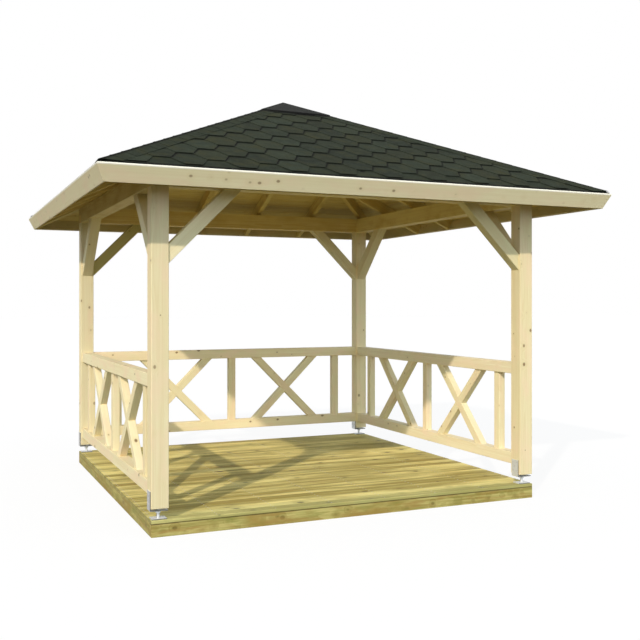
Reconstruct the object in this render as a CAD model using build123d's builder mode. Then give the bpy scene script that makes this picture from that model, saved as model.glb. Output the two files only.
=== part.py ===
"""Garden gazebo: a square open timber pavilion on a low deck, with cross-braced railings on three
sides and a hipped roof of boarding and shingles.

Millimetres, +Z up. The origin is on the ground at the middle of the square plan, the open front
faces -Y, and left and right are as seen from the front.
"""

from build123d import *
from math import cos, radians, sin, sqrt, tan
import os

# Plan and posts
plan_width = 2980.0  # over the outer faces of the posts, the same both ways
post_size = 115.0  # square section
post_length = 2080.0
arris = 3.0  # planed edge of every timber of the frame and railings

# Deck
deck_board_thickness = 21.0
deck_frame_depth = 87.0
deck_timber = 45.0  # thickness of the rim boards and joists
joist_count = 6

# Adjustable steel feet
foot_clearance = 75.0  # deck top to post bottom
foot_plate_width = 100.0
foot_plate_depth = 80.0
foot_steel = 6.0  # thickness of every plate
foot_strap_width = 80.0
foot_strap_gap = 14.0  # strap to post bottom, filled by the upper nut
foot_strap_height = 110.0  # above the bottom of the post
foot_stud_radius = 10.0
foot_nut_width = 30.0  # across the flats
foot_nut_height = 16.0  # of the nut below the strap
foot_strap_bend = 6.0  # outer radius of the bend

# Wall plates and knee braces
beam_depth = 140.0
brace_size = 88.0
brace_drop = 500.0  # from the wall plate down to the foot of the brace

# Railings
rail_size = 88.0
rail_clearance = 142.0  # deck top to the bottom rail
rail_gap = 618.0  # between the bottom rail and the top rail
bar_width = 70.0  # uprights and cross bars, seen from the front
bar_thickness = 56.0
end_gap = 200.0  # between a post and the upright next to it

# Roof
pitch = 25.0  # degrees
eave_overhang = 418.0  # from the post to the top edge of the fascia, level
rafter_thickness = 45.0
rafter_depth = 97.0
rafter_spacing = 600.0
rafters_per_side = 4
birdsmouth_depth = 10.0
hip_thickness = 45.0
board_thickness = 19.0
fascia_depth = 118.0
fascia_thickness = 20.0
roofing_thickness = 8.0
roofing_setback = 16.0  # from the top edge of the fascia to the edge of the shingles
cap_width = 610.0
cap_thickness = 12.0

# Levels and places that follow from the sizes above
half = plan_width / 2
deck_top = deck_frame_depth + deck_board_thickness
post_bottom = deck_top + foot_clearance
strap_bottom = post_bottom - foot_strap_gap - foot_steel
post_top = post_bottom + post_length
beam_top = post_top + beam_depth
post_axis = half - post_size / 2
post_face = half - post_size  # the face towards the middle of the plan
bottom_rail_top = deck_top + rail_clearance + rail_size
top_rail_bottom = bottom_rail_top + rail_gap
rail_length = 2 * post_face
end_upright = post_face - end_gap - bar_width / 2
eave = half + eave_overhang
rise = tan(radians(pitch))
across_slope = sin(radians(pitch))
along_slope = cos(radians(pitch))
roof_over_wall = beam_top - birdsmouth_depth + (rafter_depth + board_thickness) / along_slope

SIDES = {"front": 0, "right": 90, "back": 180, "left": 270}
CORNERS = {
    "front_left": (-1, -1),
    "front_right": (1, -1),
    "back_right": (1, 1),
    "back_left": (-1, 1),
}
UP = Vector(0, 0, 1)


def inward(side):
    """Level direction from the middle of a side to the middle of the plan."""
    return Vector(0, 1, 0).rotate(Axis.Z, SIDES[side])


def along(side):
    """Level direction along a side, to the right as seen from outside."""
    return Vector(1, 0, 0).rotate(Axis.Z, SIDES[side])


def section_plane(side, offset=0.0):
    """Vertical plane square to a side: x runs inwards from the middle of the plan, y up."""
    return Plane(origin=along(side) * offset, x_dir=inward(side), z_dir=along(side))


def sides_at(corner):
    """The two sides that meet at a corner."""
    return [side for side in SIDES if inward(side).dot(Vector(*CORNERS[corner])) < 0]


def wall_plane(side):
    """Vertical plane on the centre line of the posts of a side: x runs along it, y up."""
    return Plane(origin=inward(side) * -post_axis, x_dir=along(side), z_dir=inward(side) * -1)


def mitre_planes(side, setback=0.0):
    """The two upright planes on the diagonals that bound a side, facing that side."""
    for turn in (-1, 1):
        normal = (inward(side) * -1 + along(side) * turn).normalized()
        yield Plane(origin=normal * setback, z_dir=normal)


def slope_plane(side, drop=0.0):
    """Plane of a roof slope, a drop square below the top of the boarding, facing up."""
    normal = UP * along_slope - inward(side) * across_slope
    return Plane(origin=UP * roof_height(0, drop), z_dir=normal)


def roof_height(position, drop=0.0):
    """Height of the roof plane at a place on the section, a drop square below the boarding's top."""
    return roof_over_wall + (position + half) * rise - drop / along_slope


def at_eave(up_slope, drop):
    """Point on the section, measured up the slope and square below it from the fascia's top edge."""
    return (
        -eave + up_slope * along_slope + drop * across_slope,
        roof_height(-eave) + up_slope * across_slope - drop * along_slope,
    )


def fascia_plane(side):
    """Plane of the inner face of a fascia, facing up the slope."""
    position, height = at_eave(fascia_thickness, 0)
    up_slope = inward(side) * along_slope + UP * across_slope
    return Plane(origin=inward(side) * position + UP * height, z_dir=up_slope)


def keep_node(piece, node):
    """Labels a finished piece and writes it as a node of its own."""
    piece.part.label = node
    export_step(piece.part, f"parts/{node}.step")


def plane_edges(piece, direction):
    """Takes the sharp arris off the edges of a timber that run in one direction."""
    chamfer(piece.edges().filter_by(Axis((0, 0, 0), direction)), arris)


os.makedirs("parts", exist_ok=True)

# ---------------------------------------------------------------- deck

joist_length = plan_width - 2 * deck_timber

with BuildPart() as deck_frame:
    with BuildSketch():
        Rectangle(plan_width, plan_width)
        offset(amount=-deck_timber, mode=Mode.SUBTRACT)
        with GridLocations(joist_length / (joist_count + 1), 0, joist_count, 1):
            Rectangle(deck_timber, joist_length)
    extrude(amount=deck_frame_depth)
keep_node(deck_frame, "deck_frame")

with BuildPart() as deck_boards:
    with BuildSketch(Plane.XY.offset(deck_frame_depth)):
        Rectangle(plan_width, plan_width)
    extrude(amount=deck_board_thickness)
keep_node(deck_boards, "deck_boards")

# ---------------------------------------------------------------- feet, posts and knee braces

brace_cut = brace_size * sqrt(2)

for corner, (x_side, y_side) in CORNERS.items():
    centre = (x_side * post_axis, y_side * post_axis)

    with BuildPart() as foot:
        with BuildSketch(Plane.XY.offset(deck_top)):
            with Locations(centre):
                Rectangle(foot_plate_width, foot_plate_depth)
        extrude(amount=foot_steel)
        with BuildSketch(Plane.XY.offset(deck_top)):
            with Locations(centre):
                Circle(foot_stud_radius)
        extrude(amount=foot_clearance)
        with BuildSketch(Plane.XY.offset(strap_bottom - foot_nut_height)):
            with Locations(centre):
                RegularPolygon(foot_nut_width / 2, 6, major_radius=False)
        extrude(amount=post_bottom - strap_bottom + foot_nut_height)
        # The strap runs under the post and up its left face, where it is screwed on.
        with BuildSketch(Plane.XZ.offset(-centre[1])) as strap:
            with Locations((centre[0] - post_size / 2 - foot_steel, strap_bottom)):
                Rectangle(foot_steel + post_size, foot_steel, align=(Align.MIN, Align.MIN))
                Rectangle(
                    foot_steel,
                    post_bottom - strap_bottom + foot_strap_height,
                    align=(Align.MIN, Align.MIN),
                )
            fillet(strap.vertices().group_by(Axis.Y)[0].sort_by(Axis.X)[0], foot_strap_bend)
        extrude(amount=foot_strap_width / 2, both=True)
    keep_node(foot, f"post_foot_{corner}")

    with BuildPart() as post:
        with BuildSketch(Plane.XY.offset(post_bottom)):
            with Locations(centre):
                Rectangle(post_size, post_size)
        extrude(amount=post_length)
        plane_edges(post, UP)
    keep_node(post, f"post_{corner}")

    with BuildPart() as braces:
        for side in sides_at(corner):
            towards = along(side).dot(Vector(x_side, y_side))
            with BuildSketch(wall_plane(side)):
                with BuildLine():
                    Polyline(
                        (towards * post_face, post_top - brace_drop),
                        (towards * (post_face - brace_drop), post_top),
                        (towards * (post_face - brace_drop + brace_cut), post_top),
                        (towards * post_face, post_top - brace_drop + brace_cut),
                        close=True,
                    )
                make_face()
            extrude(amount=brace_size / 2, both=True)
            plane_edges(braces, UP - along(side) * towards)
    keep_node(braces, f"knee_braces_{corner}")

# ---------------------------------------------------------------- wall plates, half-lapped at the corners

for side in SIDES:
    lap_is_below = side in ("front", "back")
    with BuildPart() as beam:
        with BuildSketch(wall_plane(side)):
            with Locations((0, post_top)):
                Rectangle(plan_width, beam_depth, align=(Align.CENTER, Align.MIN))
        extrude(amount=post_size / 2, both=True)
        plane_edges(beam, along(side))
        with BuildSketch(wall_plane(side)):
            lap_bottom = post_top + beam_depth / 2 if lap_is_below else post_top
            with Locations((-post_axis, lap_bottom), (post_axis, lap_bottom)):
                Rectangle(post_size, beam_depth / 2, align=(Align.CENTER, Align.MIN))
        extrude(amount=post_size / 2, both=True, mode=Mode.SUBTRACT)
    keep_node(beam, f"beam_{side}")

# ---------------------------------------------------------------- railings

cross_reach = rail_gap / 2
cross_foot = bar_width * sqrt(2) / 2
cross_centres = [(-end_upright / 2, bottom_rail_top), (end_upright / 2, bottom_rail_top)]


def bar_outline(side, lean):
    """Outlines of the two cross bars of a railing that lean one way, their ends cut level."""
    with BuildSketch(wall_plane(side)) as outline:
        with Locations(*cross_centres):
            Polygon(
                (lean * (-cross_reach - cross_foot), 0),
                (lean * (-cross_reach + cross_foot), 0),
                (lean * (cross_reach + cross_foot), rail_gap),
                (lean * (cross_reach - cross_foot), rail_gap),
                align=None,
            )
    return outline.sketch


for side in ("left", "back", "right"):
    with BuildPart() as rails:
        with BuildSketch(wall_plane(side)):
            with Locations((0, bottom_rail_top - rail_size), (0, top_rail_bottom)):
                Rectangle(rail_length, rail_size, align=(Align.CENTER, Align.MIN))
        extrude(amount=rail_size / 2, both=True)
        plane_edges(rails, along(side))
        if side == "back":
            # The bottom rail is let over the steel strap on the face of the right-hand post.
            with BuildSketch(wall_plane(side)):
                with Locations((-post_face, post_bottom)):
                    Rectangle(foot_steel, foot_strap_height, align=(Align.MIN, Align.MIN))
            extrude(amount=foot_strap_width / 2, both=True, mode=Mode.SUBTRACT)
    keep_node(rails, f"railing_{side}_rails")

    with BuildPart() as uprights:
        with BuildSketch(wall_plane(side)):
            with Locations((-end_upright, bottom_rail_top), (0, bottom_rail_top), (end_upright, bottom_rail_top)):
                Rectangle(bar_width, rail_gap, align=(Align.CENTER, Align.MIN))
        extrude(amount=bar_thickness / 2, both=True)
        plane_edges(uprights, UP)
    keep_node(uprights, f"railing_{side}_uprights")

    for name, lean in (("rising", 1), ("falling", -1)):
        with BuildPart() as bars:
            extrude(bar_outline(side, lean), amount=bar_thickness / 2, both=True)
            plane_edges(bars, UP + along(side) * lean)
            # The other bar takes the outer or the inner half of the thickness where they cross.
            extrude(bar_outline(side, -lean), amount=lean * bar_thickness / 2, mode=Mode.SUBTRACT)
        keep_node(bars, f"railing_{side}_{name}_bars")

# ---------------------------------------------------------------- rafters

rafter_places = [rafter_spacing * (number - (rafters_per_side - 1) / 2) for number in range(rafters_per_side)]
tail_top = at_eave(fascia_thickness, board_thickness)
tail_bottom = at_eave(fascia_thickness, board_thickness + rafter_depth)
underside = board_thickness + rafter_depth
seat_end = -half + birdsmouth_depth / rise

for side in SIDES:
    with BuildPart() as rafters:
        for place in rafter_places:
            with BuildSketch(section_plane(side, place)):
                with BuildLine():
                    Polyline(
                        tail_top,
                        tail_bottom,
                        (-half, roof_height(-half, underside)),
                        (-half, beam_top),
                        (seat_end, beam_top),
                        (0, roof_height(0, underside)),
                        (0, roof_height(0, board_thickness)),
                        close=True,
                    )
                make_face()
            extrude(amount=rafter_thickness / 2, both=True)
        plane_edges(rafters, inward(side) * along_slope + UP * across_slope)
        for plane in mitre_planes(side, hip_thickness / 2):
            split(bisect_by=plane, keep=Keep.TOP)
    keep_node(rafters, f"rafters_{side}")

for corner, (x_side, y_side) in CORNERS.items():
    towards_middle = Vector(-x_side, -y_side).normalized()
    with BuildPart() as hip:
        with BuildSketch(Plane(origin=(0, 0, 0), x_dir=towards_middle, z_dir=towards_middle.cross(UP))):
            with BuildLine():
                Polyline(
                    (-eave * sqrt(2), roof_height(-eave, underside)),
                    (0, roof_height(0, underside)),
                    (0, roof_height(0)),
                    (-eave * sqrt(2), roof_height(-eave)),
                    close=True,
                )
            make_face()
        extrude(amount=hip_thickness / 2, both=True)
        plane_edges(hip, towards_middle * sqrt(2) + UP * rise)
        for side in sides_at(corner):
            split(bisect_by=slope_plane(side, board_thickness), keep=Keep.BOTTOM)
            split(bisect_by=fascia_plane(side), keep=Keep.TOP)
            split(bisect_by=Plane(origin=(0, 0, 0), z_dir=inward(side) * -1), keep=Keep.TOP)
        with Locations((0, 0, post_top)):
            seat_block = (Align.CENTER, Align.CENTER, Align.MIN)
            Box(plan_width, plan_width, beam_depth, align=seat_block, mode=Mode.SUBTRACT)
    keep_node(hip, f"hip_rafter_{corner}")

# ---------------------------------------------------------------- fascia, boarding and shingles


def sloping_layer(side, outline):
    """A layer of one roof slope, mitred along the hips, from its outline on the section."""
    with BuildPart() as layer:
        with BuildSketch(section_plane(side)):
            with BuildLine():
                Polyline(*outline, close=True)
            make_face()
        extrude(amount=eave, both=True)
        for plane in mitre_planes(side):
            split(bisect_by=plane, keep=Keep.TOP)
    return layer


for side in SIDES:
    fascia = sloping_layer(
        side,
        (
            at_eave(0, 0),
            at_eave(0, fascia_depth),
            at_eave(fascia_thickness, fascia_depth),
            at_eave(fascia_thickness, 0),
        ),
    )
    with fascia:
        plane_edges(fascia, along(side))
    keep_node(fascia, f"fascia_{side}")

    boarding = sloping_layer(
        side,
        (
            at_eave(fascia_thickness, 0),
            at_eave(fascia_thickness, board_thickness),
            (0, roof_height(0, board_thickness)),
            (0, roof_height(0)),
        ),
    )
    keep_node(boarding, f"roof_boards_{side}")

    shingles = sloping_layer(
        side,
        (
            at_eave(roofing_setback, -roofing_thickness),
            at_eave(roofing_setback, 0),
            (0, roof_height(0)),
            (0, roof_height(0, -roofing_thickness)),
        ),
    )
    keep_node(shingles, f"shingles_{side}")

# ---------------------------------------------------------------- apex cap


def roof_point(rise_above):
    """The square tip of the roof under a surface that lies square above the top of the boarding."""
    with BuildPart() as point:
        with BuildSketch(Plane.XY.offset(roof_height(-cap_width / 2, -roofing_thickness))):
            Rectangle(cap_width, cap_width)
        extrude(amount=cap_width)
        for side in SIDES:
            split(bisect_by=slope_plane(side, -rise_above), keep=Keep.BOTTOM)
    return point.part


with BuildPart() as apex_cap:
    add(roof_point(roofing_thickness + cap_thickness))
    add(roof_point(roofing_thickness), mode=Mode.SUBTRACT)
keep_node(apex_cap, "apex_cap")
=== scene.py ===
import math
import operator
import random

import bmesh
import bpy
from bpy.props import FloatProperty, FloatVectorProperty, IntProperty, PointerProperty
from bpy.types import Operator, Panel, PropertyGroup
from mathutils import Matrix, Vector


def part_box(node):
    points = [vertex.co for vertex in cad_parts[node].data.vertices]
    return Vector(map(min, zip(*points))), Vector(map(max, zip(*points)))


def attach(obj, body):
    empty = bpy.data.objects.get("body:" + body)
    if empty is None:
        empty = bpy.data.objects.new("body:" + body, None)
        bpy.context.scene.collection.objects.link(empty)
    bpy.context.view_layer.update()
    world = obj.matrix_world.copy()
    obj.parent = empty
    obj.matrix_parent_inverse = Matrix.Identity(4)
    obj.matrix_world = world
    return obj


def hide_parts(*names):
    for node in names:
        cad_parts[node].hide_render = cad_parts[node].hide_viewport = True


bl_info = {
    "name": "Garden gazebo",
    "version": (1, 0, 0),
    "blender": (4, 5, 0),
    "location": "View3D > Sidebar > Gazebo",
    "description": "Boards, shingles, fasteners and finishes for a square timber gazebo",
    "category": "Add Mesh",
}

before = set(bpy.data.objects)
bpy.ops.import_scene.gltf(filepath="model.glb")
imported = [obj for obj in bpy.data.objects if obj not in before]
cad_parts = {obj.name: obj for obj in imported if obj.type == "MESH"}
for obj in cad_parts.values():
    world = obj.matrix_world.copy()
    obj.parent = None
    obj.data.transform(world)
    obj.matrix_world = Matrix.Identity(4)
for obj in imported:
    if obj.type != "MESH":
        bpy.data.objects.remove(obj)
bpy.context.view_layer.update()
ROOT = "root"

# ---------------- places taken from the frame

SIDES = {"front": 0, "right": 90, "back": 180, "left": 270}
RAILED = ("left", "back", "right")
CORNERS = {"front_left": (-1, -1), "front_right": (1, -1), "back_right": (1, 1), "back_left": (-1, 1)}
RIGHT, BACK, UP = Vector((1, 0, 0)), Vector((0, 1, 0)), Vector((0, 0, 1))
DIAGONAL = math.sqrt(0.5)


def turned(side):
    """Rotation that carries the front side onto another side."""
    return Matrix.Rotation(math.radians(SIDES[side]), 4, "Z")


def along(side):
    """Level direction along a side, to the right as seen from outside."""
    return turned(side) @ RIGHT


def inward(side):
    """Level direction from a side to the middle of the plan."""
    return turned(side) @ BACK


def middle_of(node):
    """Middle of a CAD node's box."""
    low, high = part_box(node)
    return (low + high) / 2


DECK_LOW, DECK_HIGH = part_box("deck_boards")
RIM_LOW, RIM_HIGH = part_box("deck_frame")
BOARDING_LOW, BOARDING_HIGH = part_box("roof_boards_front")
COVERING_LOW, COVERING_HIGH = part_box("shingles_front")
CAP_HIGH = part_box("apex_cap")[1]
POST_OFFSET = abs(middle_of("post_front_left").y)

RISING = [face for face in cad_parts["roof_boards_front"].data.polygons if face.normal.z > 0.1]
PITCH = math.acos(max(RISING, key=lambda face: face.area).normal.z)
COS, SIN = math.cos(PITCH), math.sin(PITCH)
APEX = BOARDING_HIGH.z
COVERING_DEPTH = (COVERING_HIGH.z - BOARDING_HIGH.z) * COS
COVERING_REACH = -COVERING_LOW.y - COVERING_DEPTH * SIN
EAVE_HEIGHT = APEX - COVERING_REACH * math.tan(PITCH)
SLOPE_LENGTH = COVERING_REACH / COS
BOARDING_START = (COVERING_REACH + BOARDING_LOW.y) / COS

# Sizes of the CAD timbers that their grain and their fasteners follow.
RIM_THICKNESS = 0.045
BOARDING_DEPTH = 0.019
HIP_RAFTER_HEART = 0.07
JACK_RAFTER_HEART = 0.0675
JACK_RAFTER_PITCH = 0.6
FASCIA_HEART = Vector((0, -0.006, -0.059))
RAIL_DEPTH = 0.088
UPRIGHT_WIDTH = 0.07
BRACE_INNER_FACE = 1.382
BRACE_REACH = 1.125


def moved(x, y, z):
    """A move by three lengths."""
    return Matrix.Translation((x, y, z))


def slope_frame(side):
    """Frame of a roof slope: x along the eave, y up the slope from the shingles' edge, z square to it."""
    axes = Matrix((RIGHT, Vector((0, COS, SIN)), Vector((0, -SIN, COS)))).transposed()
    return turned(side) @ moved(0, -COVERING_REACH, EAVE_HEIGHT) @ axes.to_4x4()


def way_up(side):
    """Direction up a roof slope."""
    return (slope_frame(side).to_3x3() @ BACK).normalized()


def hip_ways(corner):
    """Level direction from a corner to the middle of the plan, and the direction up the hip over it."""
    x_side, y_side = CORNERS[corner]
    to_middle = Vector((-x_side, -y_side, 0)).normalized()
    return to_middle, (to_middle * math.sqrt(2) + UP * math.tan(PITCH)).normalized()


# ---------------- sizes and colours that a user may change


def metres(name, description, default):
    """A length in metres."""
    return FloatProperty(name=name, description=description, default=default, unit="LENGTH")


def hue(name, description, default):
    """A colour."""
    return FloatVectorProperty(name=name, description=description, default=default, subtype="COLOR")


class DeckSettings(PropertyGroup):
    """Boards of the deck."""

    boards: IntProperty(name="Boards", description="Number of boards across the deck", default=30, min=2)
    joists: IntProperty(name="Joists", description="Number of joists and side rims", default=8, min=2)
    gap: metres("Gap", "Gap between two boards", 0.0045)
    edge: metres("Edge radius", "Rounding of a board's edges", 0.003)
    pale: hue("Pale boards", "Colour of the palest boards", (0.90, 0.79, 0.31))
    deep: hue("Deep boards", "Colour of the darkest boards", (0.33, 0.265, 0.062))
    knot: hue("Knots", "Colour of the knots in the deck", (0.08, 0.052, 0.017))
    blush: hue("Blush", "Colour of the warm clouds in the deck", (0.46, 0.28, 0.07))
    salt: hue("Green salt", "Tint that the treatment leaves on the boards", (0.42, 0.45, 0.19))


class RoofSettings(PropertyGroup):
    """Boarding and covering of the roof."""

    board_width: metres("Board width", "Cover width of a roof board", 0.116)
    groove: metres("Groove", "Chamfer on the lower edges of a roof board", 0.003)
    tab_pitch: metres("Tab pitch", "Distance from tab to tab along a course", 0.348)
    tab_foot: metres("Tab foot", "Width of the level lower edge of a tab", 0.112)
    exposure: metres("Exposure", "Distance from course to course", 0.1278)
    first_course: metres("First course", "Eave edge to the first row of tabs", 0.031)
    sheet: metres("Shingle thickness", "Thickness of a shingle", 0.003)
    hip_width: metres("Hip cap width", "Width of a hip cap on each slope", 0.1)
    colour: hue("Granules", "Colour of the mineral granules", (0.0225, 0.030, 0.0195))


class TimberSettings(PropertyGroup):
    """Finish of the planed timber."""

    pale: hue("Early wood", "Colour of the pale wood", (0.88, 0.81, 0.535))
    deep: hue("Late wood", "Colour of the grain lines", (0.76, 0.64, 0.36))
    knot: hue("Knots", "Colour of the knots", (0.17, 0.085, 0.028))
    blush: hue("Blush", "Colour of the warm clouds in the wood", (0.86, 0.68, 0.45))
    # The roof timbers' colours are deeper and warmer, painted shade for the shade and bounce light under the
    # roof.
    roof_shade_pale: hue("Roof early wood", "Pale wood of the roof timbers", (0.84, 0.715, 0.33))
    roof_shade_deep: hue("Roof late wood", "Grain lines of the roof timbers", (0.63, 0.465, 0.17))
    grey: hue("Grey", "Colour of wood greyed by age", (0.52, 0.47, 0.32))
    # Colour of the painted highlight along the top edge of the fascias.
    bleached: hue("Bleached", "Colour of wood bleached by the sun", (0.92, 0.89, 0.77))
    # Colour of the painted shade on braces that stand in shade.
    brace_shade: hue("Stain", "Colour of stained wood", (0.42, 0.36, 0.08))


class StudioSettings(PropertyGroup):
    """Camera, lamps and floor."""

    sun: FloatProperty(name="Key light", description="Strength of the key light", default=2.6)
    sky: FloatProperty(name="Fill light", description="Strength of the sky", default=0.76)
    lean: FloatProperty(name="Front fill", description="Extra share of the sky in front", default=0.5)
    haze: FloatProperty(name="Haze", description="Extra share of the sky at its foot", default=0.95)
    lens: FloatProperty(name="Lens", description="Focal length", default=50.13, unit="CAMERA")


GROUPS = {
    "gazebo_deck": DeckSettings,
    "gazebo_roof": RoofSettings,
    "gazebo_timber": TimberSettings,
    "gazebo_studio": StudioSettings,
}

# ---------------- modelling helpers

# How far a piece may pass a hip uncut, and how little of it behind the hip is an offcut.
MITRE_SLACK = 0.002
OFFCUT_REACH = 0.008


def nothing():
    """Leaves edit mode and deselects everything."""
    if bpy.context.mode != "OBJECT":
        leave_edit()
    bpy.ops.object.select_all(action="DESELECT")


def only(*pieces):
    """Selects these pieces alone and makes the first one active."""
    nothing()
    for piece in pieces:
        piece.select_set(True)
    bpy.context.view_layer.objects.active = pieces[0]


def leave_edit():
    """Goes back to object mode."""
    bpy.ops.object.mode_set(mode="OBJECT")


def named_start(name):
    """Names a new primitive and bakes its place, turn and size into its mesh."""
    piece = bpy.context.object
    piece.name = name
    only(piece)
    bpy.ops.object.transform_apply(location=True, rotation=True, scale=True)
    return piece


def block(name, low, high):
    """A box between two corners."""
    low, high = Vector(low), Vector(high)
    nothing()
    bpy.ops.mesh.primitive_cube_add(size=1, location=(low + high) / 2, scale=high - low)
    return named_start(name)


def select_parts(piece, kind, wanted):
    """Enters edit mode with those vertices, edges or faces selected that pass a test."""
    only(piece)
    bpy.ops.object.mode_set(mode="EDIT")
    bpy.ops.mesh.select_mode(type=kind)
    bpy.ops.mesh.select_all(action="DESELECT")
    mesh = bmesh.from_edit_mesh(piece.data)
    for part in {"VERT": mesh.verts, "EDGE": mesh.edges, "FACE": mesh.faces}[kind]:
        part.select_set(wanted(part))
    bmesh.update_edit_mesh(piece.data)


def round_edges(piece, wanted, width, segments=1):
    """Bevels the edges whose middle and direction pass a test."""

    def test(edge):
        start, end = edge.verts[0].co, edge.verts[1].co
        return wanted((start + end) / 2, (end - start).normalized())

    select_parts(piece, "EDGE", test)
    bpy.ops.mesh.bevel(offset=width, segments=segments, affect="EDGES")
    leave_edit()


def cut(piece, point, normal, **how):
    """Cuts a piece along a plane."""
    only(piece)
    bpy.ops.object.mode_set(mode="EDIT")
    bpy.ops.mesh.select_all(action="SELECT")
    bpy.ops.mesh.bisect(plane_co=point, plane_no=normal, **how)
    leave_edit()


def cut_away(piece, point, normal):
    """Cuts a piece along a plane and keeps what lies behind the plane's normal, closed again."""
    cut(piece, point, normal, use_fill=True, clear_outer=True)


def mitred(piece, side):
    """Cuts a piece of a slope along its two hips; tells whether a piece worth laying is left."""
    for turn in (-1, 1):
        normal = (inward(side) + along(side) * turn).normalized()
        reach = [vertex.co.dot(normal) for vertex in piece.data.vertices]
        if min(reach) > -OFFCUT_REACH:
            discard(piece)
            return False
        if max(reach) > MITRE_SLACK:
            cut_away(piece, (0, 0, 0), normal)
    return True


def placed_copy(piece, place):
    """A copy with a mesh of its own, moved by a matrix."""
    twin = piece.copy()
    twin.data = piece.data.copy()
    twin.data.transform(place)
    bpy.context.collection.objects.link(twin)
    return twin


def placed_copies(pattern, places):
    """Copies of a pattern piece, one at each place; the pattern itself is dropped."""
    copies = [placed_copy(pattern, place) for place in places]
    discard(pattern)
    return copies


def discard(piece):
    """Removes a pattern piece once its copies are made, or an offcut."""
    bpy.data.meshes.remove(piece.data)


def paint(piece, **numbers):
    """Writes numbers on every face of a piece, for its material to read."""
    for name, value in numbers.items():
        layer = piece.data.attributes.get(name) or piece.data.attributes.new(name, "FLOAT", "FACE")
        layer.data.foreach_set("value", [value] * len(piece.data.polygons))


def lay_map(piece):
    """Maps a flat piece by its own length and width in metres."""
    mesh = piece.data
    layer = mesh.uv_layers.active or mesh.uv_layers.new()
    layer.name = "tab"
    spots = [mesh.vertices[loop.vertex_index].co for loop in mesh.loops]
    layer.data.foreach_set("uv", [value for spot in spots for value in (spot.x, spot.y)])


def joined(name, pieces):
    """Joins pieces into one."""
    only(*pieces)
    bpy.ops.object.join()
    whole = bpy.context.object
    whole.name = name
    whole.data.name = name
    return whole


def coat(piece, finish):
    """Gives a piece one material."""
    piece.data.materials.clear()
    piece.data.materials.append(finish)


def hand_over(piece, finish, replaced=()):
    """Gives a finished piece its material and its place on the frame."""
    coat(piece, finish)
    if replaced:
        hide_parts(*replaced)
    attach(piece, ROOT)


# ---------------- shader helpers


def operation(name, reflected=False):
    """A Math node as a method of Value."""

    def method(self, *others):
        terms = (self, *others)
        return self.maths(name, *(reversed(terms) if reflected else terms))

    return method


class Value:
    """A shader socket that takes part in sums, products and comparisons."""

    def __init__(self, finish, socket):
        self.finish = finish
        self.socket = socket

    def maths(self, name, *terms):
        return self.finish.node("Math", {"operation": name}, dict(enumerate(terms)))

    __add__ = __radd__ = operation("ADD")
    __sub__, __rsub__ = operation("SUBTRACT"), operation("SUBTRACT", reflected=True)
    __mul__ = __rmul__ = operation("MULTIPLY")
    __truediv__, __rtruediv__ = operation("DIVIDE"), operation("DIVIDE", reflected=True)
    __gt__, __lt__, __abs__ = operation("GREATER_THAN"), operation("LESS_THAN"), operation("ABSOLUTE")
    root, floor, larger = operation("SQRT"), operation("FLOOR"), operation("MAXIMUM")

    def within(self, low, high):
        """Goes smoothly from 0 at low to 1 at high."""
        settings = {"interpolation_type": "SMOOTHSTEP"}
        return self.finish.node("MapRange", settings, {0: self, 1: low, 2: high, 3: 0.0, 4: 1.0})


class Nodes:
    """A node tree that grows by expressions."""

    def __init__(self, owner):
        owner.use_nodes = True
        self.tree = owner.node_tree
        self.tree.nodes.clear()

    def connect(self, target, value):
        """Puts a number, a colour or a linked value on a socket."""
        if isinstance(value, Value):
            self.tree.links.new(value.socket, target)
        else:
            target.default_value = value

    def node(self, kind, settings=None, inputs=None, output=0):
        """Adds a node with its settings and inputs, and gives the wanted output, if it has any."""
        made = self.tree.nodes.new("ShaderNode" + kind)
        for name, setting in (settings or {}).items():
            setattr(made, name, setting)
        for key, value in (inputs or {}).items():
            self.connect(made.inputs[key], value)
        return Value(self, made.outputs[output]) if made.outputs else None

    def vector(self, name, *terms, output=0):
        """A Vector Math node."""
        return self.node("VectorMath", {"operation": name}, dict(enumerate(terms)), output)

    def dot(self, vector, direction):
        """Length of a vector along a direction."""
        return self.vector("DOT_PRODUCT", vector, tuple(direction), output="Value")

    def combined(self, *lengths):
        """A vector of three lengths."""
        return self.node("CombineXYZ", {}, dict(enumerate(lengths)))

    def blend(self, factor, first, second):
        """A shader between two shaders."""
        return self.node("MixShader", {}, {0: factor, 1: first, 2: second})

    def seen(self):
        """1 for what the camera sees, straight or mirrored, and 0 for what only gives light."""
        rays = [f"Is {kind} Ray" for kind in ("Camera", "Glossy", "Transmission")]
        camera, glossy, through = (self.node("LightPath", output=ray) for ray in rays)
        return camera + glossy + through


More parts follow.
